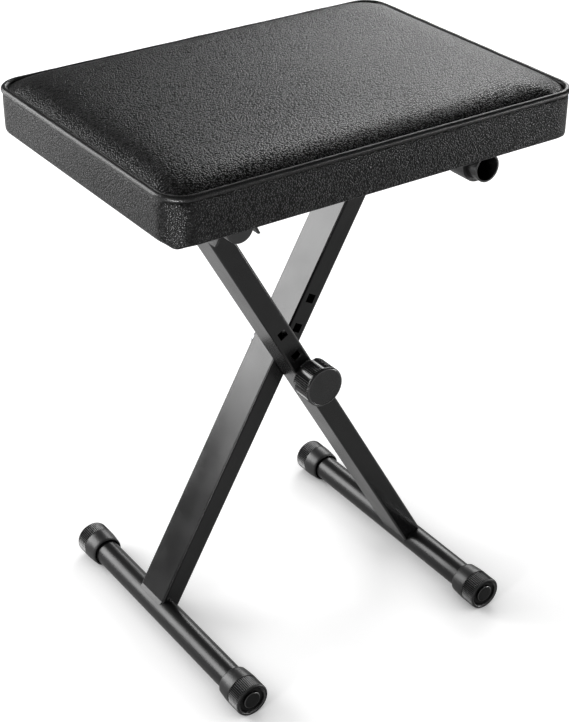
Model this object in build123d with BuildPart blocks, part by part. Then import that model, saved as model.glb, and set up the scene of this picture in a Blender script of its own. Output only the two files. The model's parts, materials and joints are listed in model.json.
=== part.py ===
from build123d import *
import math
import os

os.makedirs("parts", exist_ok=True)

# A folding bench: a padded seat on two legs that cross like scissors.
# X runs along the seat's long side, Y to the back, Z up from the floor.
# All sizes are in millimetres, angles in degrees.

# seat
seat_width = 400.0
seat_depth = 290.0
seat_corner = 23.0
band_height = 38.6
crown_height = 11.5
crown_reach = 72.0
crown_corner_gain = 0.3
crown_steps = 8
side_draw = 1.0
cover_skin = 1.2
board_thick = 12.0
board_edge_round = 3.0
cover_margin = 24.0
cloth_gap = 0.6
welt_diameter = 5.6
welt_proud = 1.0

# legs
leg_width = 20.0
leg_depth = 40.0
leg_wall = 1.5
leg_corner = 2.2
leg_lean = 29.5
lower_leg = 274.0
upper_leg = 237.5
hole_spacing = 30.0
hole_count = 3
weld_leg = 2.0

# round bars and their rubber caps
bar_diameter = 25.0
bar_wall = 1.5
foot_span = 296.0
rear_top_bar = 257.0
front_top_bar = 216.0
plug_depth = 12.0
plug_lip = 2.0
plug_lip_round = 1.2
plug_play = 0.1
cap_mouth_gap = 1.2
cap_mouth_wall = 1.6
cap_mouth_depth = 6.0
cap_swell = 1.3
cap_length = 32.0
cap_taper_length = 13.0
cap_end_wall = 4.0
cap_end_round = 2.0
cap_groove_radius = 11.2
cap_groove_width = 5.4
cap_groove_depth = 1.6
cap_flat = 0.5

# pivot bolt and knob
bolt_diameter = 8.0
bolt_head_diameter = 17.0
bolt_head_height = 4.5
bolt_neck_extra = 0.2
bolt_neck_length = 5.0
bolt_neck_play = 0.15
bolt_end_gap = 4.0
pivot_washer_thick = 1.0
pivot_washer_diameter = 17.0
washer_thick = 1.6
washer_diameter = 18.0
washer_play = 0.25
knob_diameter = 38.5
knob_height = 22.5
knob_rim = 1.2
knob_flutes = 7
knob_flute_radius = 5.2
knob_flute_depth = 1.3
knob_flute_stop = 2.0
knob_turned = 34.5
insert_diameter = 13.0
insert_length = 14.0
insert_play = 0.15

# brackets under the seat
bracket_length = 22.0
bracket_plate = 3.0
bracket_half_span = 38.0
bracket_inset = 12.0
catch_inset = 4.0
strap_thick = 2.0
sleeve_wall = 1.5
sleeve_play = 0.08
catch_arm = 2.4
catch_play = 0.5
catch_drop = 4.0
catch_lip_drop = 12.0
catch_lip_out = 5.0
pad_gap = 0.3
pad_side_gap = 1.0
fold_angle = 50.0
seat_swing = 117.0

# fasteners
screw_diameter = 4.0
screw_pilot = 3.2
screw_hole = 4.6
screw_head_diameter = 8.2
screw_head_height = 2.4
screw_cover = 2.5
screw_edge = 8.0
staple_width = 10.0
staple_wire = 0.9
staple_leg = 7.0
staple_spacing = 42.0
staple_inset = 14.0

# places that follow from the sizes
lean = math.radians(leg_lean)
sin_lean = math.sin(lean)
cos_lean = math.cos(lean)
bar_radius = bar_diameter / 2
mouth_radius = bar_radius + cap_mouth_gap
cap_mouth_radius = mouth_radius + cap_mouth_wall
cap_radius = cap_mouth_radius + cap_swell
foot_z = cap_radius - cap_flat
foot_x = lower_leg * sin_lean
pivot_z = foot_z + lower_leg * cos_lean
top_z = pivot_z + upper_leg * cos_lean
top_x = upper_leg * sin_lean
leg_gap = pivot_washer_thick
rear_y = leg_gap / 2 + leg_depth / 2
front_y = -rear_y
bore_radius = bar_radius + sleeve_play
saddle_radius = bore_radius + sleeve_wall
plate_z = top_z + saddle_radius
seat_bottom = plate_z + bracket_plate
board_bottom = seat_bottom + cover_skin
board_top = board_bottom + board_thick
welt_z = seat_bottom + band_height
welt_inset = welt_diameter / 2 - welt_proud
hinge_y = rear_top_bar / 2 - bracket_inset - bracket_length / 2
catch_y = front_top_bar / 2 - catch_inset - bracket_length / 2
screw_x = bracket_half_span - screw_edge
draw_z = (board_top + welt_z) / 2
core_width = seat_width - 2 * cover_skin
core_depth = seat_depth - 2 * cover_skin
core_corner = seat_corner - cover_skin
core_crown = crown_height - cover_skin
cloth_margin = cover_margin + cloth_gap
screw_bite = board_thick - screw_cover
washer_y = -leg_gap / 2 - leg_depth
knob_y = washer_y - washer_thick
bolt_tip_y = knob_y - knob_height + bolt_end_gap
neck_side = bolt_diameter + bolt_neck_extra
hole_side = neck_side + 2 * bolt_neck_play
pad_thick = sleeve_play + sleeve_wall - pad_gap

# Direction frames of the two legs: local Z up the leg, local Y to the back.
rear_axis = (sin_lean, 0, cos_lean)
rear_side = (cos_lean, 0, -sin_lean)
front_axis = (-sin_lean, 0, cos_lean)
front_side = (cos_lean, 0, sin_lean)
rear_section = Plane(origin=(0, rear_y, pivot_z), x_dir=rear_side, z_dir=rear_axis)
front_section = Plane(origin=(0, front_y, pivot_z), x_dir=front_side, z_dir=front_axis)
rear_face = Plane(origin=(0, rear_y, pivot_z), x_dir=rear_side, z_dir=(0, -1, 0))
front_face = Plane(origin=(0, front_y, pivot_z), x_dir=front_side, z_dir=(0, -1, 0))

# seat board: plywood, its lower edge rounded for the cover
with BuildPart() as seat_board:
    with BuildSketch(Plane.XY.offset(board_bottom)):
        RectangleRounded(core_width, core_depth, core_corner)
    extrude(amount=board_thick)
    fillet(seat_board.edges().group_by(Axis.Z)[0], board_edge_round)
    with Locations((top_x, 0, board_bottom + screw_bite / 2)):
        with GridLocations(2 * screw_x, 2 * hinge_y, 2, 2):
            Cylinder(screw_pilot / 2, screw_bite, mode=Mode.SUBTRACT)
    with Locations((-top_x, 0, board_bottom + screw_bite / 2)):
        with GridLocations(2 * screw_x, 2 * catch_y, 2, 2):
            Cylinder(screw_pilot / 2, screw_bite, mode=Mode.SUBTRACT)
seat_board.part.label = "seat_board"
export_step(seat_board.part, "parts/seat_board.step")

# welt: the round cord sewn into the top edge
with BuildPart() as seat_welt:
    with BuildSketch(Plane.XY.offset(welt_z), mode=Mode.PRIVATE) as welt_outline:
        RectangleRounded(
            seat_width - 2 * welt_inset,
            seat_depth - 2 * welt_inset,
            seat_corner - welt_inset,
        )
    welt_path = welt_outline.sketch.face().outer_wire()
    with BuildSketch(Plane(origin=welt_path @ 0, z_dir=welt_path % 0)):
        Circle(welt_diameter / 2)
    sweep(path=welt_path)
seat_welt.part.label = "seat_welt"
export_step(seat_welt.part, "parts/seat_welt.step")

# foam: drawn in half way up its sides and crowned on top, under the cover
with BuildPart() as seat_foam:
    for step in range(crown_steps):
        turn = math.radians(90 * step / (crown_steps - 1))
        inset = crown_reach * (1 - math.cos(turn))
        with BuildSketch(Plane.XY.offset(welt_z + core_crown * math.sin(turn))):
            RectangleRounded(
                core_width - 2 * inset,
                core_depth - 2 * inset,
                core_corner + crown_corner_gain * inset,
            )
    loft(ruled=True)
    with BuildSketch(Plane.XY.offset(board_top)):
        RectangleRounded(core_width, core_depth, core_corner)
    with BuildSketch(Plane.XY.offset(draw_z)):
        RectangleRounded(core_width - 2 * side_draw, core_depth - 2 * side_draw, core_corner)
    with BuildSketch(Plane.XY.offset(welt_z)):
        RectangleRounded(core_width, core_depth, core_corner)
    loft()
    add(seat_welt.part, mode=Mode.SUBTRACT)
seat_foam.part.label = "seat_foam"
export_step(seat_foam.part, "parts/seat_foam.step")

# top panel: the crowned cover above the welt
with BuildPart() as top_panel:
    for step in range(crown_steps):
        turn = math.radians(90 * step / (crown_steps - 1))
        inset = crown_reach * (1 - math.cos(turn))
        with BuildSketch(Plane.XY.offset(welt_z + crown_height * math.sin(turn))):
            RectangleRounded(
                seat_width - 2 * inset,
                seat_depth - 2 * inset,
                seat_corner + crown_corner_gain * inset,
            )
    loft(ruled=True)
    for step in range(crown_steps):
        turn = math.radians(90 * step / (crown_steps - 1))
        inset = crown_reach * (1 - math.cos(turn))
        with BuildSketch(Plane.XY.offset(welt_z + core_crown * math.sin(turn))):
            RectangleRounded(
                core_width - 2 * inset,
                core_depth - 2 * inset,
                core_corner + crown_corner_gain * inset,
            )
    loft(ruled=True, mode=Mode.SUBTRACT)
    add(seat_welt.part, mode=Mode.SUBTRACT)
top_panel.part.label = "top_panel"
export_step(top_panel.part, "parts/top_panel.step")

# side band: boxed strip below the welt, turned under the board as a margin
with BuildPart() as side_band:
    with BuildSketch(Plane.XY.offset(seat_bottom)):
        RectangleRounded(seat_width, seat_depth, seat_corner)
    extrude(amount=board_top - seat_bottom)
    fillet(side_band.edges().group_by(Axis.Z)[0], board_edge_round + cover_skin)
    with BuildSketch(Plane.XY.offset(board_top)):
        RectangleRounded(seat_width, seat_depth, seat_corner)
    with BuildSketch(Plane.XY.offset(draw_z)):
        RectangleRounded(seat_width - 2 * side_draw, seat_depth - 2 * side_draw, seat_corner)
    with BuildSketch(Plane.XY.offset(welt_z)):
        RectangleRounded(seat_width, seat_depth, seat_corner)
    loft()
    with BuildSketch(Plane.XY.offset(board_top)):
        RectangleRounded(core_width, core_depth, core_corner)
    with BuildSketch(Plane.XY.offset(draw_z)):
        RectangleRounded(core_width - 2 * side_draw, core_depth - 2 * side_draw, core_corner)
    with BuildSketch(Plane.XY.offset(welt_z)):
        RectangleRounded(core_width, core_depth, core_corner)
    loft(mode=Mode.SUBTRACT)
    with BuildSketch(Plane.XY.offset(seat_bottom)):
        RectangleRounded(
            seat_width - 2 * cover_margin,
            seat_depth - 2 * cover_margin,
            seat_corner,
        )
    extrude(amount=cover_skin, mode=Mode.SUBTRACT)
    with BuildPart(mode=Mode.SUBTRACT):
        with BuildSketch(Plane.XY.offset(board_bottom)):
            RectangleRounded(core_width, core_depth, core_corner)
        board_room = extrude(amount=board_thick)
        fillet(board_room.edges().group_by(Axis.Z)[0], board_edge_round)
    add(seat_welt.part, mode=Mode.SUBTRACT)
side_band.part.label = "side_band"
export_step(side_band.part, "parts/side_band.step")

# dust cloth: closes the underside inside the turned margin
with BuildPart() as dust_cloth:
    with BuildSketch(Plane.XY.offset(seat_bottom)):
        RectangleRounded(
            seat_width - 2 * cloth_margin,
            seat_depth - 2 * cloth_margin,
            seat_corner - cloth_gap,
        )
        with Locations((top_x, 0)):
            with GridLocations(2 * screw_x, 2 * hinge_y, 2, 2):
                Circle(screw_hole / 2, mode=Mode.SUBTRACT)
        with Locations((-top_x, 0)):
            with GridLocations(2 * screw_x, 2 * catch_y, 2, 2):
                Circle(screw_hole / 2, mode=Mode.SUBTRACT)
    extrude(amount=cover_skin)
dust_cloth.part.label = "dust_cloth"
export_step(dust_cloth.part, "parts/dust_cloth.step")

# staples: hold the margin to the board, evenly spaced along each side
long_staples = int((seat_width - 2 * seat_corner - staple_width) / staple_spacing) + 1
short_staples = int((seat_depth - 2 * seat_corner - staple_width) / staple_spacing) + 1
with BuildPart() as seat_staples:
    with BuildSketch(Plane.XY.offset(seat_bottom)):
        with GridLocations(staple_spacing, seat_depth - 2 * staple_inset, long_staples, 2):
            Rectangle(staple_width, staple_wire)
        with GridLocations(seat_width - 2 * staple_inset, staple_spacing, 2, short_staples):
            Rectangle(staple_wire, staple_width)
    extrude(amount=-staple_wire)
    with BuildSketch(Plane.XY.offset(seat_bottom)):
        with GridLocations(staple_spacing, seat_depth - 2 * staple_inset, long_staples, 2):
            with GridLocations(staple_width - staple_wire, 0, 2, 1):
                Rectangle(staple_wire, staple_wire)
        with GridLocations(seat_width - 2 * staple_inset, staple_spacing, 2, short_staples):
            with GridLocations(0, staple_width - staple_wire, 1, 2):
                Rectangle(staple_wire, staple_wire)
    extrude(amount=staple_leg)
seat_staples.part.label = "seat_staples"
export_step(seat_staples.part, "parts/seat_staples.step")

# hinge saddles: closed straps that carry the rear leg's top bar, with sleeves
for end_name, end_y in (("front", -hinge_y), ("back", hinge_y)):
    with BuildPart() as hinge_saddle:
        with BuildSketch(Plane.XZ.offset(-end_y)):
            with Locations((top_x, plate_z + bracket_plate / 2)):
                Rectangle(2 * bracket_half_span, bracket_plate)
            with Locations((top_x, (top_z + plate_z) / 2)):
                Rectangle(2 * (saddle_radius + strap_thick), saddle_radius)
            with Locations((top_x, top_z)):
                Circle(saddle_radius + strap_thick)
                Circle(saddle_radius, mode=Mode.SUBTRACT)
        extrude(amount=bracket_length / 2, both=True)
        with Locations((top_x, end_y, plate_z + bracket_plate / 2)):
            with GridLocations(2 * screw_x, 0, 2, 1):
                Cylinder(screw_hole / 2, bracket_plate, mode=Mode.SUBTRACT)
    hinge_saddle.part.label = "hinge_saddle_" + end_name
    export_step(hinge_saddle.part, "parts/hinge_saddle_" + end_name + ".step")

    with BuildPart() as hinge_sleeve:
        with BuildSketch(Plane.XZ.offset(-end_y)):
            with Locations((top_x, top_z)):
                Circle(saddle_radius)
                Circle(bore_radius, mode=Mode.SUBTRACT)
        extrude(amount=bracket_length / 2, both=True)
    hinge_sleeve.part.label = "hinge_sleeve_" + end_name
    export_step(hinge_sleeve.part, "parts/hinge_sleeve_" + end_name + ".step")

# catch clips: open below, so the front leg's top bar drops out as the bench folds.
# The bar leaves down and inwards, so the inner arm leans by the same angle.
swing_ratio = seat_swing / fold_angle
leave_across = upper_leg * cos_lean
leave_down = 2 * top_x * (swing_ratio - 0.5)
leave_tilt = math.atan2(leave_across, leave_down)
catch_room = bar_radius + catch_play
bend_up = catch_room * math.tan(leave_tilt / 2)
lip_in = catch_room + (catch_lip_drop + bend_up) * math.tan(leave_tilt)
for end_name, end_y in (("front", -catch_y), ("back", catch_y)):
    catch_plane = Plane(origin=(-top_x, end_y, top_z), x_dir=(1, 0, 0), z_dir=(0, -1, 0))
    with BuildPart() as catch_clip:
        with BuildSketch(catch_plane):
            with Locations((0, saddle_radius + bracket_plate / 2)):
                Rectangle(2 * bracket_half_span, bracket_plate)
            with BuildLine():
                Polyline(
                    (catch_room, saddle_radius),
                    (catch_room, bend_up),
                    (lip_in, -catch_lip_drop),
                    (lip_in + catch_arm, -catch_lip_drop),
                    (catch_room + catch_arm, bend_up),
                    (catch_room + catch_arm, saddle_radius),
                    close=True,
                )
            make_face()
            with BuildLine():
                Polyline(
                    (-catch_room, saddle_radius),
                    (-catch_room, -catch_drop),
                    (-catch_room - catch_lip_out, -catch_lip_drop),
                    (-catch_room - catch_lip_out - catch_arm, -catch_lip_drop),
                    (-catch_room - catch_arm, -catch_drop),
                    (-catch_room - catch_arm, saddle_radius),
                    close=True,
                )
            make_face()
        extrude(amount=bracket_length / 2, both=True)
        with Locations((-top_x, end_y, plate_z + bracket_plate / 2)):
            with GridLocations(2 * screw_x, 0, 2, 1):
                Cylinder(screw_hole / 2, bracket_plate, mode=Mode.SUBTRACT)
    catch_clip.part.label = "catch_clip_" + end_name
    export_step(catch_clip.part, "parts/catch_clip_" + end_name + ".step")

    with BuildPart() as catch_pad:
        with BuildSketch(Plane.XY.offset(plate_z)):
            with Locations((-top_x, end_y)):
                Rectangle(2 * (catch_room - pad_side_gap), bracket_length)
        extrude(amount=-pad_thick)
    catch_pad.part.label = "catch_pad_" + end_name
    export_step(catch_pad.part, "parts/catch_pad_" + end_name + ".step")

# bracket screws: pan heads under the plates, threads in the board
for screw_name, screw_centre, screw_row in (
    ("hinge_screws", top_x, hinge_y),
    ("catch_screws", -top_x, catch_y),
):
    with BuildPart() as bracket_screws:
        with BuildSketch(Plane.XY.offset(plate_z)):
            with Locations((screw_centre, 0)):
                with GridLocations(2 * screw_x, 2 * screw_row, 2, 2):
                    Circle(screw_head_diameter / 2)
        extrude(amount=-screw_head_height)
        fillet(bracket_screws.edges().group_by(Axis.Z)[0], screw_head_height / 2)
        with BuildSketch(Plane.XY.offset(plate_z)):
            with Locations((screw_centre, 0)):
                with GridLocations(2 * screw_x, 2 * screw_row, 2, 2):
                    Circle(screw_diameter / 2)
        extrude(amount=bracket_plate + cover_skin + screw_bite)
    bracket_screws.part.label = screw_name
    export_step(bracket_screws.part, "parts/" + screw_name + ".step")

# legs: rectangular tubes, coped to the round bars, with square height holes
for leg_name, section, face, side in (
    ("rear", rear_section, rear_face, 1),
    ("front", front_section, front_face, -1),
):
    leg_y = side * rear_y
    with BuildPart() as leg_tube:
        with BuildSketch(section.offset(-lower_leg)):
            RectangleRounded(leg_width, leg_depth, leg_corner)
            RectangleRounded(
                leg_width - 2 * leg_wall,
                leg_depth - 2 * leg_wall,
                leg_corner - leg_wall / 2,
                mode=Mode.SUBTRACT,
            )
        extrude(amount=lower_leg + upper_leg)
        with BuildSketch(Plane.XZ.offset(-leg_y)):
            with Locations((side * top_x, top_z), (-side * foot_x, foot_z)):
                Circle(bar_radius)
        extrude(amount=leg_depth, both=True, mode=Mode.SUBTRACT)
        with BuildSketch(face):
            for hole in range(hole_count):
                with Locations((0, hole * hole_spacing)):
                    Rectangle(hole_side, hole_side)
        extrude(amount=leg_depth, both=True, mode=Mode.SUBTRACT)
    leg_tube.part.label = leg_name + "_leg_tube"
    export_step(leg_tube.part, "parts/" + leg_name + "_leg_tube.step")

    # weld fillets along both flanks of the leg, at each bar
    weld_start = math.asin(leg_width / 2 / bar_radius)
    weld_end = weld_start + weld_leg / bar_radius
    for weld_name, weld_at, way in (("top", upper_leg, -1), ("foot", -lower_leg, 1)):
        root_y = weld_at + way * bar_radius * math.cos(weld_start)
        with BuildPart() as leg_weld:
            with BuildSketch(face):
                for flank in (-1, 1):
                    with BuildLine():
                        Polyline(
                            (flank * leg_width / 2, root_y),
                            (flank * leg_width / 2, root_y + way * weld_leg),
                            (
                                flank * bar_radius * math.sin(weld_end),
                                weld_at + way * bar_radius * math.cos(weld_end),
                            ),
                            close=True,
                        )
                    make_face()
                with Locations((0, weld_at)):
                    Circle(bar_radius, mode=Mode.SUBTRACT)
            extrude(amount=leg_depth / 2 - leg_corner, both=True)
        leg_weld.part.label = leg_name + "_" + weld_name + "_weld"
        export_step(leg_weld.part, "parts/" + leg_name + "_" + weld_name + "_weld.step")

    # round bars: the open top bar under the seat and the foot bar on the floor
    top_bar_length = rear_top_bar if side > 0 else front_top_bar
    with BuildPart() as top_bar:
        with BuildSketch(Plane.XZ):
            with Locations((side * top_x, top_z)):
                Circle(bar_radius)
                Circle(bar_radius - bar_wall, mode=Mode.SUBTRACT)
        extrude(amount=top_bar_length / 2, both=True)
    top_bar.part.label = leg_name + "_top_bar"
    export_step(top_bar.part, "parts/" + leg_name + "_top_bar.step")

    with BuildPart() as foot_bar:
        with BuildSketch(Plane.XZ):
            with Locations((-side * foot_x, foot_z)):
                Circle(bar_radius)
                Circle(bar_radius - bar_wall, mode=Mode.SUBTRACT)
        extrude(amount=foot_span / 2 - cap_end_wall, both=True)
    foot_bar.part.label = leg_name + "_foot_bar"
    export_step(foot_bar.part, "parts/" + leg_name + "_foot_bar.step")

    # rubber caps: pushed over the ends of the foot bar, flat where they stand
    for end_name, end_side in (("front", -1), ("back", 1)):
        cap_plane = Plane(
            origin=(-side * foot_x, end_side * foot_span / 2, foot_z),
            x_dir=(0, -end_side, 0),
            z_dir=(-end_side, 0, 0),
        )
        round_in = cap_end_round * (1 - math.sqrt(0.5))
        with BuildPart() as foot_cap:
            with BuildSketch(cap_plane):
                with BuildLine():
                    Polyline((cap_end_wall, 0), (0, 0), (0, cap_radius - cap_end_round))
                    ThreePointArc(
                        (0, cap_radius - cap_end_round),
                        (round_in, cap_radius - round_in),
                        (cap_end_round, cap_radius),
                    )
                    Polyline(
                        (cap_end_round, cap_radius),
                        (cap_length - cap_taper_length, cap_radius),
                        (cap_length, cap_mouth_radius),
                        (cap_length, mouth_radius),
                        (cap_length - cap_mouth_depth, mouth_radius),
                        (cap_length - cap_mouth_depth, bar_radius),
                        (cap_end_wall, bar_radius),
                        (cap_end_wall, 0),
                    )
                make_face()
                with Locations((cap_groove_depth / 2, cap_groove_radius)):
                    Rectangle(cap_groove_depth, cap_groove_width, mode=Mode.SUBTRACT)
            revolve(axis=Axis(cap_plane.origin, cap_plane.x_dir))
            with Locations((-side * foot_x, end_side * foot_span / 2, 0)):
                Box(
                    4 * cap_radius,
                    4 * cap_length,
                    2 * cap_flat,
                    align=(Align.CENTER, Align.CENTER, Align.MAX),
                    mode=Mode.SUBTRACT,
                )
        foot_cap.part.label = leg_name + "_foot_cap_" + end_name
        export_step(foot_cap.part, "parts/" + leg_name + "_foot_cap_" + end_name + ".step")

# plugs in the two ends of the front leg's top bar, each with a rounded lip
for end_name, end_side in (("front", -1), ("back", 1)):
    plug_plane = Plane.XZ.offset(-end_side * front_top_bar / 2)
    with BuildPart() as bar_plug:
        with BuildSketch(plug_plane):
            with Locations((-top_x, top_z)):
                Circle(bar_radius)
        extrude(amount=-end_side * plug_lip)
        lip_edges = bar_plug.edges().group_by(Axis.Y)[0 if end_side < 0 else -1]
        fillet(lip_edges, plug_lip_round)
        with BuildSketch(plug_plane):
            with Locations((-top_x, top_z)):
                Circle(bar_radius - bar_wall - plug_play)
        extrude(amount=end_side * plug_depth)
    bar_plug.part.label = "front_bar_plug_" + end_name
    export_step(bar_plug.part, "parts/front_bar_plug_" + end_name + ".step")

# pivot bolt: round head behind the rear leg, square neck held in its hole
bolt_face = rear_face.offset(-leg_depth / 2)
with BuildPart() as pivot_bolt:
    with BuildSketch(bolt_face):
        Circle(bolt_head_diameter / 2)
    extrude(amount=-bolt_head_height)
    fillet(pivot_bolt.edges().group_by(Axis.Y)[-1], 0.8 * bolt_head_height)
    with BuildSketch(bolt_face):
        Rectangle(neck_side, neck_side)
    extrude(amount=bolt_neck_length)
    with BuildSketch(bolt_face):
        Circle(bolt_diameter / 2)
    extrude(amount=rear_y + leg_depth / 2 - bolt_tip_y)
pivot_bolt.part.label = "pivot_bolt"
export_step(pivot_bolt.part, "parts/pivot_bolt.step")

# washers: one between the legs, one under the knob
for washer_name, washer_back, thick, across in (
    ("pivot_washer", leg_gap / 2, pivot_washer_thick, pivot_washer_diameter),
    ("knob_washer", washer_y, washer_thick, washer_diameter),
):
    with BuildPart() as washer:
        with BuildSketch(Plane.XZ.offset(-washer_back)):
            with Locations((0, pivot_z)):
                Circle(across / 2)
                Circle(bolt_diameter / 2 + washer_play, mode=Mode.SUBTRACT)
        extrude(amount=thick)
    washer.part.label = washer_name
    export_step(washer.part, "parts/" + washer_name + ".step")

# knob: fluted grip moulded round a threaded insert, its flutes stopped short of the face
flute_circle = knob_diameter / 2 + knob_flute_radius - knob_flute_depth
with BuildPart() as knob:
    with BuildSketch(Plane.XZ.offset(-knob_y)):
        with Locations((0, pivot_z)):
            Circle(knob_diameter / 2)
    extrude(amount=knob_height)
    chamfer(knob.edges().group_by(Axis.Y)[0], knob_rim)
    with BuildSketch(Plane.XZ.offset(-knob_y)):
        with Locations((0, pivot_z)):
            with PolarLocations(flute_circle, knob_flutes, start_angle=knob_turned):
                Circle(knob_flute_radius)
    extrude(amount=knob_height - knob_flute_stop, mode=Mode.SUBTRACT)
    with BuildSketch(Plane.XZ.offset(-knob_y)):
        with Locations((0, pivot_z)):
            Circle(insert_diameter / 2)
    extrude(amount=insert_length, mode=Mode.SUBTRACT)
    with BuildSketch(Plane.XZ.offset(-knob_y)):
        with Locations((0, pivot_z)):
            Circle(bolt_diameter / 2 + insert_play)
    extrude(amount=knob_height - bolt_end_gap / 2, mode=Mode.SUBTRACT)
knob.part.label = "knob"
export_step(knob.part, "parts/knob.step")

with BuildPart() as knob_insert:
    with BuildSketch(Plane.XZ.offset(-knob_y)):
        with Locations((0, pivot_z)):
            Circle(insert_diameter / 2)
            Circle(bolt_diameter / 2 + insert_play, mode=Mode.SUBTRACT)
    extrude(amount=insert_length)
knob_insert.part.label = "knob_insert"
export_step(knob_insert.part, "parts/knob_insert.step")

print("seat bottom", round(seat_bottom, 3), "welt", round(welt_z, 3), "top", round(welt_z + crown_height, 3))
print("pivot", round(pivot_z, 3), "top bar", round(top_x, 3), round(top_z, 3))
print("foot bar", round(foot_x, 3), round(foot_z, 3), "leave tilt", round(math.degrees(leave_tilt), 2))
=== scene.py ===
import json
import math

import bpy
import numpy as np
from mathutils import Matrix, Vector, noise


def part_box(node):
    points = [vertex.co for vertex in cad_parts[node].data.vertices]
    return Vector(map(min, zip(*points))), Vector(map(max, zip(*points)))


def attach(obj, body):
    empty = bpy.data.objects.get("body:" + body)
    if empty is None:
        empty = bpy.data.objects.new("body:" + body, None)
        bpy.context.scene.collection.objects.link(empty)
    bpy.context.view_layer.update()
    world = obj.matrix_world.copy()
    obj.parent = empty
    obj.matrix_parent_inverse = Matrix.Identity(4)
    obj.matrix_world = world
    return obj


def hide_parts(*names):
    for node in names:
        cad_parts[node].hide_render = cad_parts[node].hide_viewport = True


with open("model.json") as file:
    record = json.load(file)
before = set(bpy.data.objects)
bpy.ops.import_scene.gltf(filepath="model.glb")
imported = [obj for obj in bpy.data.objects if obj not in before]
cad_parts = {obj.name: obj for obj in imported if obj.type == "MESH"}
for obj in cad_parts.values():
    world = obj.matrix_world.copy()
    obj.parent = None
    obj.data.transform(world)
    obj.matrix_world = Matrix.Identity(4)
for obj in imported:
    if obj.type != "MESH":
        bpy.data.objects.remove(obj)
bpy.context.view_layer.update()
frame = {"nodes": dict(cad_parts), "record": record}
nodes = frame["nodes"]
scene = bpy.context.scene
MM = 0.001


# small helpers

def add_mesh(name, points, faces):
    """A smooth-shaded mesh object from points in millimetres."""
    mesh = bpy.data.meshes.new(name)
    mesh.from_pydata([tuple(p) for p in np.asarray(points) * MM], [], faces)
    mesh.validate()
    mesh.polygons.foreach_set("use_smooth", [True] * len(mesh.polygons))
    mesh.update()
    made = bpy.data.objects.new(name, mesh)
    scene.collection.objects.link(made)
    return made


def bridge(first, second, count):
    """Quads between two closed rings of the same count, given their first indices."""
    return [
        (first + i, first + (i + 1) % count, second + (i + 1) % count, second + i)
        for i in range(count)
    ]


def sharpen(piece, degrees):
    """Marks edges that turn more than so many degrees as sharp."""
    piece.data.set_sharp_from_angle(angle=math.radians(degrees))


def smooth_step(x, low, high):
    """0 below low, 1 above high, and an even S between."""
    t = np.clip((x - low) / (high - low), 0, 1)
    return t * t * (3 - 2 * t)


# camera, at the photograph's angle

YAW, PITCH, ROLL = (math.radians(a) for a in (33.768, 30.793, -0.219))
IMAGE_W, IMAGE_H = 569, 722
FOCAL_PX, CENTRE_X, CENTRE_Y = 1655.9, 265.9, 369.9
SENSOR = 36.0
CAMERA_AT = (-745.09, -1083.91, 1025.0)

forward = Vector((
    math.sin(YAW) * math.cos(PITCH),
    math.cos(YAW) * math.cos(PITCH),
    -math.sin(PITCH),
))
level = Vector((math.cos(YAW), -math.sin(YAW), 0))
above = level.cross(forward)
right = level * math.cos(ROLL) + above * math.sin(ROLL)
up = above * math.cos(ROLL) - level * math.sin(ROLL)
camera_data = bpy.data.cameras.new("camera")
camera_data.sensor_width = SENSOR
camera_data.lens = SENSOR * FOCAL_PX / IMAGE_H
camera_data.shift_x = (IMAGE_W / 2 - CENTRE_X) / IMAGE_H
camera_data.shift_y = (CENTRE_Y - IMAGE_H / 2) / IMAGE_H
camera_data.clip_start = 0.05
camera_data.clip_end = 60
camera = bpy.data.objects.new("camera", camera_data)
scene.collection.objects.link(camera)
turn = Matrix((right, up, -forward)).transposed().to_4x4()
camera.matrix_world = Matrix.Translation(Vector(CAMERA_AT) * MM) @ turn
scene.camera = camera


# materials

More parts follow.
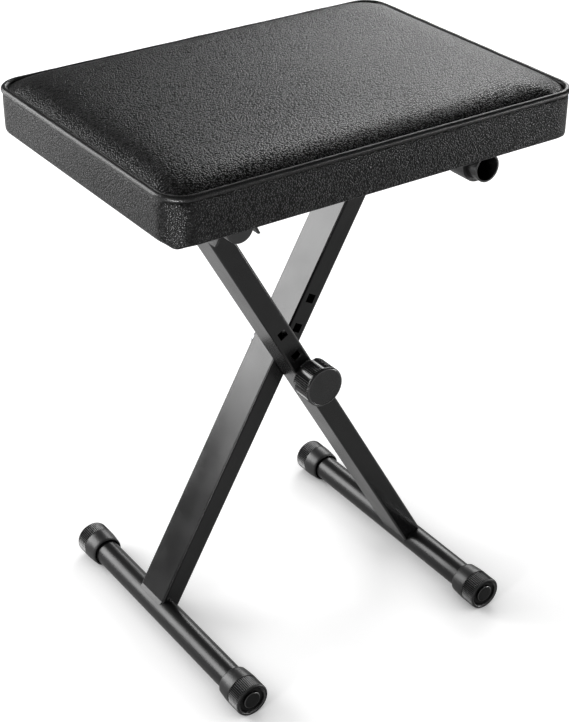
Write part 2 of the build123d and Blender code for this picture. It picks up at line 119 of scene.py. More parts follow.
class Look:
    """One node material with a Principled shader and short ways to add nodes."""

    def __init__(self, name, colour, roughness, metallic=0.0, specular=0.5):
        self.material = bpy.data.materials.new(name)
        self.material.use_nodes = True
        self.tree = self.material.node_tree
        self.shader = self.tree.nodes["Principled BSDF"]
        self.shader.inputs["Base Color"].default_value = (*colour, 1)
        self.shader.inputs["Roughness"].default_value = roughness
        self.shader.inputs["Metallic"].default_value = metallic
        self.shader.inputs["Specular IOR Level"].default_value = specular
        self.place = self.add("ShaderNodeTexCoord").outputs["Object"]

    def add(self, kind, **settings):
        node = self.tree.nodes.new(kind)
        for key, value in settings.items():
            setattr(node, key, value)
        return node

    def wire(self, source, target):
        self.tree.links.new(source, target)

    def fill(self, socket, value):
        if hasattr(value, "is_output"):
            self.wire(value, socket)
        else:
            socket.default_value = value

    def noise(self, scale, detail=2.0, roughness=0.5, where=None, output="Fac"):
        node = self.add("ShaderNodeTexNoise")
        self.wire(where or self.place, node.inputs["Vector"])
        node.inputs["Scale"].default_value = scale
        node.inputs["Detail"].default_value = detail
        node.inputs["Roughness"].default_value = roughness
        return node.outputs[output]

    def cells(self, scale, feature, where=None):
        node = self.add("ShaderNodeTexVoronoi", feature=feature)
        self.wire(where or self.place, node.inputs["Vector"])
        node.inputs["Scale"].default_value = scale
        return node.outputs["Distance"]

    def weighted(self, value, weight, plus):
        """A value times its weight, plus another value."""
        node = self.add("ShaderNodeMath", operation="MULTIPLY_ADD")
        for socket, part in zip(node.inputs, (value, weight, plus)):
            self.fill(socket, part)
        return node.outputs[0]

    def spread(self, value, low, high, to_low=0.0, to_high=1.0, smooth=False):
        """A value mapped from one range to another."""
        node = self.add("ShaderNodeMapRange")
        if smooth:
            node.interpolation_type = "SMOOTHSTEP"
        self.wire(value, node.inputs["Value"])
        for key, number in (("From Min", low), ("From Max", high), ("To Min", to_low), ("To Max", to_high)):
            node.inputs[key].default_value = number
        return node.outputs["Result"]

    def warped(self, scale, amount):
        """The object's coordinates pushed about by noise of that scale."""
        pushed = self.add("ShaderNodeVectorMath", operation="MULTIPLY_ADD")
        self.wire(self.noise(scale, output="Color"), pushed.inputs[0])
        pushed.inputs[1].default_value = (amount,) * 3
        self.wire(self.place, pushed.inputs[2])
        return pushed.outputs[0]

    def stretched(self, x, y, z):
        """The object's coordinates scaled along each axis."""
        node = self.add("ShaderNodeMapping")
        self.wire(self.place, node.inputs["Vector"])
        node.inputs["Scale"].default_value = (x, y, z)
        return node.outputs["Vector"]

    def colours(self, value, stops, gain=None):
        """The base colour: a ramp over the value, times a gain where there is one."""
        node = self.add("ShaderNodeValToRGB")
        self.wire(value, node.inputs["Fac"])
        ramp = node.color_ramp
        while len(ramp.elements) < len(stops):
            ramp.elements.new(0.5)
        for element, (at, colour) in zip(ramp.elements, stops):
            element.position = at
            element.color = (*colour, 1)
        colour = node.outputs["Color"]
        if gain is not None:
            scaled = self.add("ShaderNodeVectorMath", operation="SCALE")
            self.wire(colour, scaled.inputs[0])
            self.wire(gain, scaled.inputs["Scale"])
            colour = scaled.outputs[0]
        self.wire(colour, self.shader.inputs["Base Color"])

    def rough(self, value):
        self.wire(value, self.shader.inputs["Roughness"])

    def bump(self, height, strength, distance):
        node = self.add("ShaderNodeBump")
        node.inputs["Strength"].default_value = strength
        node.inputs["Distance"].default_value = distance
        self.wire(height, node.inputs["Height"])
        self.wire(node.outputs["Normal"], self.shader.inputs["Normal"])


def grey(value, tint=0.0):
    return (value, value, value * (1 + tint))


def leather(name, cell, depth, rough_low, rough_high, specular, contrast):
    """Black leatherette with a pebble grain: rounded cells, creases between them, fine pores.
    The creases carry painted shade: a darker base colour and a weaker shine. The contrast is how much more
    the tops of the pebbles shine than the creases."""
    look = Look(name, grey(0.012), 0.4, specular=specular)
    where = look.warped(cell * 0.6, 0.7 / cell)
    crease = look.spread(look.cells(cell, "DISTANCE_TO_EDGE", where), 0.0, 0.3, smooth=True)
    dome = look.spread(look.cells(cell, "F1", where), 0.0, 0.8, 1.0, 0.0)
    pores = look.noise(cell * 3.2, 2.0)
    pebble = look.weighted(dome, 0.8, look.weighted(crease, 0.3, 0.0))
    height = look.weighted(pores, 0.22, pebble)
    look.bump(height, 1.0, depth)
    # painted shade: the base colour is darker in the creases between the pebbles
    painted_crease_shade = look.weighted(crease, 0.6, 0.5)
    look.colours(painted_crease_shade, [(0.0, grey(0.002)), (0.75, grey(0.005)), (1.0, grey(0.007, 0.03))])
    uneven = look.spread(look.noise(9.0, 3.0), 0.3, 0.7, -0.03, 0.03)
    look.rough(look.weighted(look.spread(height, 0.2, 1.15, rough_high, rough_low), 1.0, uneven))
    # painted shade: the creases reflect less than the pebble tops
    shine = look.spread(height, 0.25, 1.1, specular * (1 - contrast), specular * (1 + contrast))
    look.wire(shine, look.shader.inputs["Specular IOR Level"])
    return look.material


def powder_coat(name, colour, rough, peel):
    """Satin powder coat: orange peel and a fine tooth, a little uneven in its gloss."""
    look = Look(name, grey(colour, 0.03), rough)
    height = look.weighted(look.noise(1500.0, 2.0, 0.55), 0.7, look.noise(420.0, 1.0))
    look.bump(height, 0.35, peel)
    look.colours(look.noise(60.0, 4.0), [(0.3, grey(colour * 0.85)), (0.7, grey(colour * 1.15, 0.04))])
    look.rough(look.spread(look.noise(26.0, 4.0), 0.3, 0.7, rough - 0.04, rough + 0.05))
    return look.material


def moulded(name, colour, rough, grain, depth, specular=0.5):
    """Moulded rubber or plastic: a spark-eroded tooth and slight flow marks, and where the mesh carries an
    attribute for it, painted shade darkening its valleys and painted highlights brightening its ridges and
    edges, in base colour and in shine."""
    look = Look(name, grey(colour, 0.02), rough, specular=specular)
    look.bump(look.noise(grain, 3.0, 0.6), 0.4, depth)
    painted_shine = look.add("ShaderNodeAttribute", attribute_name="painted_shine").outputs["Fac"]
    # painted shade and painted highlight: the base colour is darker in the valleys and lighter on the
    # ridges
    gain = look.spread(painted_shine, -1.0, 1.0, 0.2, 1.8)
    look.colours(look.noise(90.0, 3.0), [(0.3, grey(colour * 0.8)), (0.7, grey(colour * 1.2, 0.03))], gain)
    look.rough(look.spread(look.noise(40.0, 3.0), 0.3, 0.7, rough - 0.06, rough + 0.06))
    # painted shade and painted highlight: the valleys reflect far less and the ridges more
    shine = look.spread(painted_shine, -1.0, 1.0, specular * 0.05, specular * 1.95)
    look.wire(shine, look.shader.inputs["Specular IOR Level"])
    return look.material


def plated(name, colour, rough):
    """Zinc or brass: bright metal with a fine turned grain and dull spots."""
    look = Look(name, colour, rough, metallic=1.0)
    look.bump(look.noise(1800.0, 2.0, where=look.stretched(1.0, 1.0, 4.0)), 0.25, 0.00004)
    look.colours(look.noise(200.0, 4.0), [(0.3, tuple(c * 0.8 for c in colour)), (0.7, colour)])
    look.rough(look.spread(look.noise(120.0, 4.0), 0.3, 0.7, rough - 0.08, rough + 0.12))
    return look.material


def non_woven(name):
    """Black non-woven dust cloth: matted fibres and a grid of spot bonds."""
    look = Look(name, grey(0.018), 0.85, specular=0.2)
    fibres = look.noise(1500.0, 4.0, 0.7, where=look.stretched(1.0, 0.35, 1.0))
    bonds = look.spread(look.cells(420.0, "F1"), 0.12, 0.3, smooth=True)
    look.bump(look.weighted(fibres, 0.6, bonds), 0.8, 0.00025)
    look.colours(fibres, [(0.3, grey(0.010)), (0.7, grey(0.030))])
    look.rough(look.spread(fibres, 0.3, 0.7, 0.78, 0.95))
    return look.material


def timber(name):
    """Plywood: a long pale grain with darker streaks."""
    look = Look(name, (0.55, 0.40, 0.25), 0.7)
    grain = look.noise(60.0, 5.0, 0.6, where=look.stretched(0.6, 8.0, 8.0))
    look.colours(grain, [(0.3, (0.42, 0.28, 0.15)), (0.7, (0.60, 0.45, 0.29))])
    look.bump(grain, 0.3, 0.0002)
    look.rough(look.spread(grain, 0.3, 0.7, 0.62, 0.8))
    return look.material


looks = {
    "leatherette": leather("leatherette_grain", 580.0, 0.00036, 0.27, 0.40, 0.44, 0.8),
    # painted shade: the band's copy of the same leatherette reflects about half as much as the top's, so
    # the seat's sides render darker
    "band": leather("shaded_band_leatherette", 580.0, 0.00032, 0.26, 0.38, 0.21, 0.6),
    "welt": leather("welt_leatherette", 900.0, 0.00010, 0.26, 0.38, 0.5, 0.3),
    "foam": moulded("pale_foam", 0.6, 0.9, 800.0, 0.0003),
    "plywood": timber("plywood"),
    "cloth": non_woven("dust_cloth_fibre"),
    "frame_paint": powder_coat("black_powder_coat", 0.006, 0.22, 0.00002),
    "bar_paint": powder_coat("black_bar_coat", 0.007, 0.32, 0.00003),
    "foot_rubber": moulded("black_rubber", 0.014, 0.40, 1500.0, 0.00005, 0.7),
    "bracket": powder_coat("bracket_coat", 0.012, 0.42, 0.00005),
    "nylon": moulded("black_nylon", 0.008, 0.5, 1200.0, 0.00004),
    "zinc": plated("zinc_plate", (0.62, 0.63, 0.66), 0.34),
    "knob_plastic": moulded("black_knob_plastic", 0.012, 0.24, 1900.0, 0.00003, 0.6),
    "brass": plated("brass", (0.75, 0.60, 0.30), 0.3),
}
for row in frame["record"]["subparts"]:
    mesh = nodes[row["node"]].data
    mesh.materials.clear()
    rounded = row["node"].endswith(("_bar", "_weld"))
    mesh.materials.append(looks["bar_paint" if rounded else row["material_slot"]])


# seat cushion: one closed cover over the foam and board, puffed by a cloth simulation

band_low, band_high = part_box("side_band")
welt_low, welt_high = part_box("seat_welt")
HALF_W, HALF_D = band_high.x / MM, band_high.y / MM
SEAT_BOTTOM = band_low.z / MM
WELT_R = (welt_high.z - welt_low.z) / 2 / MM
WELT_Z = (welt_high.z + welt_low.z) / 2 / MM
WELT_INSET = HALF_W - (welt_high.x / MM - WELT_R)
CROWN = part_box("top_panel")[1].z / MM - WELT_Z
CORNER = 23.0
REACH = 72.0
CORNER_GAIN = 0.3
ROLL_START, ROLL_END = WELT_INSET + WELT_R, 32.0
ROLL_SLOPE = math.radians(46)
SEAM_RISE = 0.6
DOME = 0.8
START_SHARE = 0.97
CROWN_INSETS = (74, 66, 57, 48, 40, 33, 27, 22, 18, 14.5, 11.5, 9.2, 7.4, 6.2)
BAND_SHARES = (0, 0.14, 0.28, 0.43, 0.58, 0.72, 0.86)
EDGE_ROUND, SHORT_EDGE_GAIN = 1.8, 3.2
EDGE_STEPS = 5
CORNER_DIP = 2.4
UNDER_SHARES = (0.2, 0.45, 0.7, 1.0)
UNDER_MARGIN = 24.0
FOLD_COUNT, FOLD_DEPTH = 20, 0.55
BASE_INSET = 40.0
PRESSURE, BENDING, PUFF_FRAMES = 4.0, 2.0, 20
PUFF_CAP = 0.8
SMOOTH_POINTS, SMOOTH_PASSES = 9.0, 120
ARC_STEPS, LONG_STEPS, SHORT_STEPS = 9, 84, 58


def corner_arcs():
    """The angles of the half corner before a side facing -Y, and of the half corner after it."""
    return (np.radians(np.linspace(low, low + 45, ARC_STEPS + 1))[:-1] for low in (225, 270))


def all_round(front, side):
    """A front side and a left side, and the two opposite them, as one ring."""
    side = np.stack([-side[:, 1], side[:, 0]], 1)
    return np.concatenate([front, side, -front, -side])


def side_run(half, deep, radius, steps):
    """A side facing -Y, from the middle of its left corner to just before the middle of its right one."""
    first, last = corner_arcs()
    flat = np.linspace(-(half - radius), half - radius, steps + 1)[:-1]
    return np.concatenate([
        np.stack([-(half - radius) + radius * np.cos(first), -(deep - radius) + radius * np.sin(first)], 1),
        np.stack([flat, np.full_like(flat, -deep)], 1),
        np.stack([half - radius + radius * np.cos(last), -(deep - radius) + radius * np.sin(last)], 1),
    ])


def outline(inset, radius):
    """A closed rounded rectangle, set in from the band's face, as points (x, y)."""
    front = side_run(HALF_W - inset, HALF_D - inset, radius, LONG_STEPS)
    side = side_run(HALF_D - inset, HALF_W - inset, radius, SHORT_STEPS)
    return all_round(front, side)


def facing_run(steps):
    """The outward direction at each point of a side run."""
    first, last = corner_arcs()
    angle = np.concatenate([first, np.full(steps, np.radians(270)), last])
    return np.stack([np.cos(angle), np.sin(angle)], 1)


FACING = all_round(facing_run(LONG_STEPS), facing_run(SHORT_STEPS))
RING = len(FACING)
SIDE_A = 2 * ARC_STEPS + LONG_STEPS
SIDE_B = 2 * ARC_STEPS + SHORT_STEPS
ON_SHORT = FACING[:, 0] ** 2
AT_CORNER = np.abs(2 * FACING[:, 0] * FACING[:, 1])


def patch(edge, start, first_new):
    """Fills a ring with a grid: inner points by blending its four sides, the quads, and the grid."""
    a, b = SIDE_A, SIDE_B
    south = [start + i for i in range(a + 1)]
    east = [start + a + j for j in range(b + 1)]
    north = [start + (2 * a + b - i) for i in range(a + 1)]
    west = [start + (2 * (a + b) - j) % RING for j in range(b + 1)]
    index = np.zeros((a + 1, b + 1), int)
    index[:, 0], index[:, b] = south, north
    index[0, :], index[a, :] = west, east
    at = {start + i: edge[i] for i in range(RING)}
    made, count = [], first_new
    for i in range(1, a):
        u = i / a
        for j in range(1, b):
            v = j / b
            point = (
                (1 - v) * at[south[i]] + v * at[north[i]]
                + (1 - u) * at[west[j]] + u * at[east[j]]
                - (1 - u) * (1 - v) * at[south[0]] - u * (1 - v) * at[south[a]]
                - (1 - u) * v * at[north[0]] - u * v * at[north[a]]
            )
            index[i, j] = count
            made.append(point)
            count += 1
    quads = [
        (int(index[i, j]), int(index[i + 1, j]), int(index[i + 1, j + 1]), int(index[i, j + 1]))
        for i in range(a)
        for j in range(b)
    ]
    return made, quads, index


def crown_height(inset):
    """Height over the welt's middle: a round roll up from the seam, then a slight dome."""
    share = min(max((ROLL_END - inset) / (ROLL_END - ROLL_START), 0.0), 1.0)
    slope = math.asin(math.sin(ROLL_SLOPE) * share)
    rise = (math.cos(slope) - math.cos(ROLL_SLOPE)) / (1 - math.cos(ROLL_SLOPE))
    dome = float(smooth_step(np.array(inset), ROLL_START, REACH))
    return SEAM_RISE + (CROWN - SEAM_RISE - DOME) * rise + DOME * dome


def ring_at(inset, radius, z):
    """An outline at a height, or at one height for each point."""
    xy = outline(inset, radius)
    return np.column_stack([xy, np.broadcast_to(z, RING)])


def make_cushion():
    """The cover's rings from the crown out to the welt, down the band, under the board, and closed."""
    rings, held, give = [], [], []

    def ring(points, pinned=False, share=1.0):
        rings.append(points)
        held.append(pinned)
        give.append(0.0 if pinned else share)

    for inset in CROWN_INSETS:
        z = WELT_Z + crown_height(inset) * START_SHARE
        ring(ring_at(inset, CORNER + CORNER_GAIN * inset, z))
    for past, share in ((0.75, 0.5), (0.2, 0.2)):
        ring(ring_at(ROLL_START + past, CORNER, WELT_Z + crown_height(ROLL_START + past)), share=share)

    # the seam, behind and under the welt
    for inset, down in ((0.9, 0.0), (0.4, 0.4), (0.2, 0.55 * WELT_R), (-0.25, 0.88 * WELT_R)):
        ring(ring_at(WELT_INSET + inset * WELT_R, CORNER, WELT_Z - down), True)

    # the band
    for inset, down, share in ((0.7, 0.55, 0.3), (0.3, 1.7, 0.4)):
        ring(ring_at(inset, CORNER, WELT_Z - WELT_R - down), share=share)
    edge_round = EDGE_ROUND + SHORT_EDGE_GAIN * smooth_step(ON_SHORT, 0.35, 1.0)
    band_top = WELT_Z - WELT_R - 3.4
    for share in BAND_SHARES:
        z = band_top + share * (SEAT_BOTTOM + edge_round - band_top)
        ring(ring_at(0.1, CORNER, z), share=0.4)

    # the turn under the board, gathered at the corners
    dip = CORNER_DIP * AT_CORNER ** 5
    for step in range(EDGE_STEPS + 1):
        swing = math.pi / 2 * step / EDGE_STEPS
        points = ring_at(0.0, CORNER, SEAT_BOTTOM + edge_round * (1 - math.sin(swing)))
        points[:, :2] -= FACING * (edge_round * (1 - math.cos(swing)) + 0.1)[:, None]
        points[:, 2] -= dip * math.sin(swing) ** 2
        ring(points, True)
    under_outer = rings[-1][:, :2]
    under_inner = outline(UNDER_MARGIN, CORNER)
    folds = np.cos(np.arctan2(FACING[:, 1], FACING[:, 0]) * FOLD_COUNT) * AT_CORNER ** 1.5
    for share in UNDER_SHARES:
        xy = under_outer * (1 - share) + under_inner * share
        fold = FOLD_DEPTH * np.maximum(folds, 0) * math.sin(math.pi * min(share, 0.8))
        z = SEAT_BOTTOM - dip * (1 - share) ** 3 - fold
        ring(np.column_stack([xy, z]), True)

    # its raw edge, and the board's underside
    for inset, rise in ((UNDER_MARGIN + 0.35, 0.35), (UNDER_MARGIN + 0.4, 1.15), (BASE_INSET, 1.2)):
        ring(ring_at(inset, CORNER, SEAT_BOTTOM + rise), True)

    points = [p for r in rings for p in r]
    pins = [n * RING + i for n, fixed in enumerate(held) if fixed for i in range(RING)]
    faces = []
    for n in range(len(rings) - 1):
        faces += [tuple(reversed(f)) for f in bridge(n * RING, (n + 1) * RING, RING)]
    top_points, top_faces, top_grid = patch(rings[0], 0, len(points))
    points += top_points
    last = (len(rings) - 1) * RING
    base_points, base_faces, _ = patch(rings[-1], last, len(points))
    pins += range(len(points), len(points) + len(base_points))
    points += base_points
    faces += top_faces + [tuple(reversed(f)) for f in base_faces]
    return add_mesh("seat_cushion", points, faces), pins, np.array(give), top_grid


def evened(step, give, grid):
    """The puff without its creases, smoothed along each ring and over the middle of the top.
    The foam behind the cover lets it move out only."""
    count = len(give)
    rings = step[:count * RING].reshape(count, RING, 3)
    away = np.minimum(np.arange(RING), RING - np.arange(RING))
    bell = np.exp(-0.5 * (away / SMOOTH_POINTS) ** 2)
    kernel = np.fft.rfft(bell / bell.sum())

    def along(values):
        smoothed = np.fft.irfft(np.fft.rfft(values) * kernel, RING) * give[:, None]
        return np.maximum(smoothed, 0)

    out = along((rings[:, :, :2] * FACING).sum(2))
    rise = along(rings[:, :, 2])
    result = np.zeros_like(step)
    result[:count * RING, :2] = (out[:, :, None] * FACING).reshape(-1, 2)
    result[:count * RING, 2] = rise.ravel()
    field = np.maximum(step[:, 2][grid], 0)
    edge = np.ones(grid.shape, bool)
    edge[1:-1, 1:-1] = False
    field[edge] = result[:, 2][grid][edge]
    for _ in range(SMOOTH_PASSES):
        around = field[:-2, 1:-1] + field[2:, 1:-1] + field[1:-1, :-2] + field[1:-1, 2:]
        field[1:-1, 1:-1] = 0.4 * field[1:-1, 1:-1] + 0.15 * around
    result[grid[1:-1, 1:-1].ravel(), 2] = field[1:-1, 1:-1].ravel()
    return result


def puff(piece, pins, give, grid):
    """Blows the cover up as cloth held at its seams, with no point moved further than the cap.
    Without the simulation the crown is only scaled to its height."""
    rest = np.empty(len(piece.data.vertices) * 3)
    piece.data.vertices.foreach_get("co", rest)
    rest = rest.reshape(-1, 3)
    group = piece.vertex_groups.new(name="held")
    group.add(list(pins), 1.0, "REPLACE")
    cloth = piece.modifiers.new("puff", "CLOTH")
    cloth.settings.vertex_group_mass = "held"
    cloth.settings.use_pressure = True
    cloth.settings.uniform_pressure_force = PRESSURE
    cloth.settings.effector_weights.gravity = 0
    cloth.settings.bending_stiffness = BENDING
    cloth.collision_settings.use_collision = False
    cloth.point_cache.frame_start = 1
    cloth.point_cache.frame_end = PUFF_FRAMES
    for number in range(1, PUFF_FRAMES + 1):
        scene.frame_set(number)
    shown = piece.evaluated_get(bpy.context.evaluated_depsgraph_get())
    moved = np.empty(len(shown.data.vertices) * 3)
    shown.data.vertices.foreach_get("co", moved)
    moved = moved.reshape(-1, 3)
    piece.modifiers.remove(cloth)
    piece.vertex_groups.remove(group)
    scene.frame_set(1)
    step = moved - rest
    far = np.linalg.norm(step, axis=1)
    step *= np.minimum(1.0, PUFF_CAP * MM / np.maximum(far, 1e-9))[:, None]
    moved = rest + evened(step, give, grid)
    piece.data.vertices.foreach_set("co", moved.ravel())
    piece.data.update()
    finer = piece.modifiers.new("finer", "SUBSURF")
    finer.levels = finer.render_levels = 1
    finer.boundary_smooth = "PRESERVE_CORNERS"


cushion, seams, give, top_grid = make_cushion()
puff(cushion, seams, give, top_grid)
cushion.data.materials.append(looks["leatherette"])
cushion.data.materials.append(looks["band"])
# faces under the welt take the band's copy, with its painted shade
for face in cushion.data.polygons:
    face.material_index = int(face.center.z < WELT_Z * MM)
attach(cushion, "seat")
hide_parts("seat_foam", "top_panel", "side_band", "seat_board")


# welt: the round cord in its sewn cover, with the lap where its two ends meet at the back

WELT_AROUND = 20
WELT_SWELL, LAP_SWELL, LAP_POINTS = 0.03, 0.08, 1.6
SWAY_OUT, SWAY_UP = 0.15, 0.18


def make_welt():
    path = outline(WELT_INSET, CORNER - WELT_INSET)
    middle = np.argmin(np.hypot(path[:, 0], path[:, 1] - path[:, 1].max()))
    points = []
    for i in range(RING):
        x, y = path[i]
        sway = noise.noise(Vector((x, y, 7.0)) * 0.035)
        swell = 1 + WELT_SWELL * noise.noise(Vector((x, y, 3.0)) * 0.09)
        lap = math.exp(-(((i - middle) / LAP_POINTS) ** 2)) * LAP_SWELL
        size = WELT_R * (swell + lap)
        for k in range(WELT_AROUND):
            angle = 2 * math.pi * k / WELT_AROUND
            out = size * math.cos(angle) + SWAY_OUT * sway
            points.append((
                x + FACING[i, 0] * out,
                y + FACING[i, 1] * out,
                WELT_Z + size * math.sin(angle) + SWAY_UP * sway,
            ))
    faces = []
    for i in range(RING):
        first, second = i * WELT_AROUND, (i + 1) % RING * WELT_AROUND
        faces += [tuple(reversed(f)) for f in bridge(first, second, WELT_AROUND)]
    return add_mesh("seat_piping", points, faces)


piping = make_welt()
piping.data.materials.append(looks["welt"])
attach(piping, "seat")
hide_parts("seat_welt")


# dust cloth under the seat, drawn tight with faint wrinkles

WRINKLE = 0.16
CLOTH_THICK, CLOTH_LIFT = 0.3, 0.45


def make_dust_cloth():
    low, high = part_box("dust_cloth")
    inset = HALF_W - high.x / MM
    edge = ring_at(inset, CORNER - 0.6, low.z / MM + CLOTH_LIFT)
    inner, quads, _ = patch(edge, 0, RING)
    points = np.array(list(edge) + inner)
    for p in points:
        along_y = noise.noise(Vector((p[0] * 0.03, p[1] * 0.012, 1.0)))
        along_x = noise.noise(Vector((p[0] * 0.011, p[1] * 0.04, 5.0)))
        p[2] += WRINKLE * (along_y + along_x)
    made = add_mesh("seat_dust_cloth", points, [tuple(reversed(q)) for q in quads])
    thick = made.modifiers.new("thick", "SOLIDIFY")
    thick.thickness = CLOTH_THICK * MM
    thick.offset = -1
    return made, (2 * high.x, 2 * high.y)


cloth_piece, cloth_size = make_dust_cloth()
cloth_piece.data.materials.append(looks["cloth"])
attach(cloth_piece, "seat")
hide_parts("dust_cloth")


# turned pieces: rings of a profile about an axis along Y

def turned(name, centre, end_y, inward, profile, steps, cut, floor=None):
    """Points (depth from the end, radius) turned about Y, with nothing below the floor. cut(angle, depth,
    radius) gives what is taken off the radius there, and how much painted highlight (1) or painted shade
    (-1) its material puts there."""
    angles = np.arange(steps) * 2 * math.pi / steps
    points, faces, rows, painted_shines = [], [], [], []
    for depth, radius in profile:
        y = end_y + inward * depth
        if radius == 0:
            rows.append((len(points), 1))
            points.append((centre[0], y, centre[1]))
            painted_shines.append(cut(0.0, depth, 0.0)[1])
            continue
        taken, painted_shine = cut(angles, depth, radius)
        painted_shines += list(np.broadcast_to(painted_shine, steps))
        size = radius - taken
        rows.append((len(points), steps))
        z = centre[1] + size * np.sin(angles)
        if floor is not None:
            z = np.maximum(z, floor)
        points += list(np.column_stack([centre[0] + size * np.cos(angles), np.full(steps, y), z]))
    for (a, na), (b, nb) in zip(rows[:-1], rows[1:]):
        for i in range(steps):
            j = (i + 1) % steps
            if na == 1:
                face = (a, b + j, b + i)
            elif nb == 1:
                face = (a + i, a + j, b)
            else:
                face = (a + i, a + j, b + j, b + i)
            faces.append(face if inward > 0 else tuple(reversed(face)))
    made = add_mesh(name, points, faces)
    # the painted highlight and shade for the material, one value a point
    made.data.attributes.new("painted_shine", "FLOAT", "POINT").data.foreach_set("value", painted_shines)
    return made


# rubber foot caps: a ribbed grip, a smooth neck, a loose mouth, and a boss in a dished end

CAP_RIBS, RIB_POINTS = 56, 8
RIB_FROM, RIB_TO = 0.5, 15.5
RIB_DEPTH = 1.5
CAP_SIDE = (1.9, 3.2, 5.0, 8.0, 11.0, 14.0, RIB_TO, RIB_TO + 0.12, RIB_TO + 0.6)
CAP_ROUND = 1.6
BOSS_EDGE, DISH_EDGE, DISH_DEEP = 8.0, 14.0, 2.2
# the end face's painted shade reaches this deep and this far out, at this strength
END_DEEP, END_RADIUS, END_PAINTED_SHADE = 3.0, 15.1, -0.7
NECK_FROM, NECK_POWER = 17.0, 1.4
NECK_SHARES = (0.0, 0.2, 0.4, 0.6, 0.8, 0.95)
MOUTH_GAP, MOUTH_WALL, MOUTH_DEEP = 1.2, 1.6, 6.0
END_WALL = 4.0


def cap_cut(angles, depth, radius):
    """Ribs round the grip, with painted highlights on their ridges and painted shade in their valleys; on
    the end face, painted highlights on the edges of the boss and the dish, and painted shade on the rest.
    """
    share = float(smooth_step(np.array(depth), RIB_FROM, RIB_FROM + 1.0) * (depth < RIB_TO + 0.05))
    wave = 0.5 - 0.5 * np.cos(angles * CAP_RIBS)
    # painted highlight on the rib ridges, painted shade in their valleys
    painted_shine = share * (1 - 2 * wave ** 1.3)
    # painted highlights on the boss and dish edges, painted shade over the rest of the end face
    if depth < END_DEEP and radius < END_RADIUS:
        edge = abs(radius - BOSS_EDGE) < 0.3 or abs(radius - DISH_EDGE) < 0.2
        painted_shine = 1.0 if edge else END_PAINTED_SHADE
    return RIB_DEPTH * share * wave ** 1.2, painted_shine


def make_cap(node, body):
    low, high = (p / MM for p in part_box(node))
    inward = 1 if low.y < 0 else -1
    end_y = low.y if inward > 0 else high.y
    length = high.y - low.y
    radius = (high.x - low.x) / 2
    centre = ((low.x + high.x) / 2, high.z - radius)
    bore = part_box(node.split("_")[0] + "_foot_bar")
    bar = (bore[1].x - bore[0].x) / 2 / MM
    mouth = bar + MOUTH_GAP
    neck = mouth + MOUTH_WALL
    boss = [(0.0, 0), (0.0, BOSS_EDGE - 4.0), (0.05, BOSS_EDGE - 0.6), (0.2, BOSS_EDGE - 0.1)]
    dish = [
        (0.5, BOSS_EDGE + 0.25), (DISH_DEEP - 0.6, BOSS_EDGE + 0.5), (DISH_DEEP, BOSS_EDGE + 1.0),
        (DISH_DEEP, DISH_EDGE - 1.0), (DISH_DEEP - 0.6, DISH_EDGE - 0.4), (0.5, DISH_EDGE - 0.15),
        (0.15, DISH_EDGE + 0.1), (0.03, DISH_EDGE + 0.4),
    ]
    round_off = [
        (CAP_ROUND * (1 - math.cos(math.radians(a))), radius - CAP_ROUND * (1 - math.sin(math.radians(a))))
        for a in (20, 35, 50, 65, 80)
    ]
    grip = [(depth, radius) for depth in CAP_SIDE]
    taper = [
        (NECK_FROM + (length - NECK_FROM) * share, radius - (radius - neck) * share ** NECK_POWER)
        for share in NECK_SHARES
    ]
    lip = [(length - 0.25, neck - 0.2), (length, neck - 0.6), (length, mouth + 0.3), (length - 0.3, mouth)]
    inside = [(length - MOUTH_DEEP, mouth), (length - MOUTH_DEEP, bar), (END_WALL, bar), (END_WALL, 0)]
    profile = boss + dish + round_off + grip + taper + lip + inside
    made = turned(
        node + "_ribbed", centre, end_y, inward, profile, CAP_RIBS * RIB_POINTS, cap_cut, floor=0.0
    )
    sharpen(made, 40)
    made.data.materials.append(looks["foot_rubber"])
    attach(made, body)
    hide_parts(node)


for leg in ("rear", "front"):
    for end in ("front", "back"):
        make_cap(leg + "_foot_cap_" + end, leg + "_frame")


# clamp knob: groups of fine ribs between smooth flutes, under a plain face with a thin rim

KNOB_FLUTES, FLUTE_POINTS = 7, 84
FLUTE_AT, FLUTE_HALF, FLUTE_DEPTH = 34.5, 11.2, 1.35
RIB_PITCH, RIBS_IN_GROUP, KNOB_RIB_DEPTH = 6.2, 5, 1.5
KNOB_SIDE = (1.25, 1.55, 1.75, 2.0, 2.3, 2.7, 3.1, 5.0, 9.0, 13.0, 17.0, 20.8, 21.3, 21.7)
KNOB_BACK = 22.4
# the painted highlight on the knob face's rim, and how deep from the face it reaches
RIM_PAINTED_HIGHLIGHT, RIM_DEEP = 0.8, 0.2
BOLT_HOLE, FACE_WALL = 4.15, 2.0


def knob_cut(angles, depth, radius):
    """Flutes from just behind the face, ribs between them with painted highlights on their ridges and
    painted shade in their valleys, and a painted highlight on the rim round the face.
    """
    period = 360.0 / KNOB_FLUTES
    swing = (np.degrees(angles) - FLUTE_AT + period / 2) % period - period / 2
    flute = np.clip(1 - (swing / FLUTE_HALF) ** 2, 0, 1) * FLUTE_DEPTH
    across = (np.degrees(angles) - FLUTE_AT) % period - period / 2
    ribbed = np.abs(across) < RIB_PITCH * RIBS_IN_GROUP / 2
    wave = 0.5 - 0.5 * np.cos(across / RIB_PITCH * 2 * math.pi)
    ribs = np.where(ribbed, KNOB_RIB_DEPTH * wave, 0.0)
    front = float(smooth_step(np.array(depth), 1.9, 3.0))
    back = float(1 - smooth_step(np.array(depth), 20.9, 21.7)) if depth < KNOB_BACK else 0.0
    share = float(smooth_step(np.array(depth), 1.6, 2.0)) * back
    # painted highlight on the rib ridges, painted shade in their valleys
    painted_shine = np.where(ribbed, 1 - 2 * wave, 0.0) * share
    # painted highlight on the face's rim
    if depth < RIM_DEEP:
        painted_shine = RIM_PAINTED_HIGHLIGHT
    return flute * front + ribs * share, painted_shine


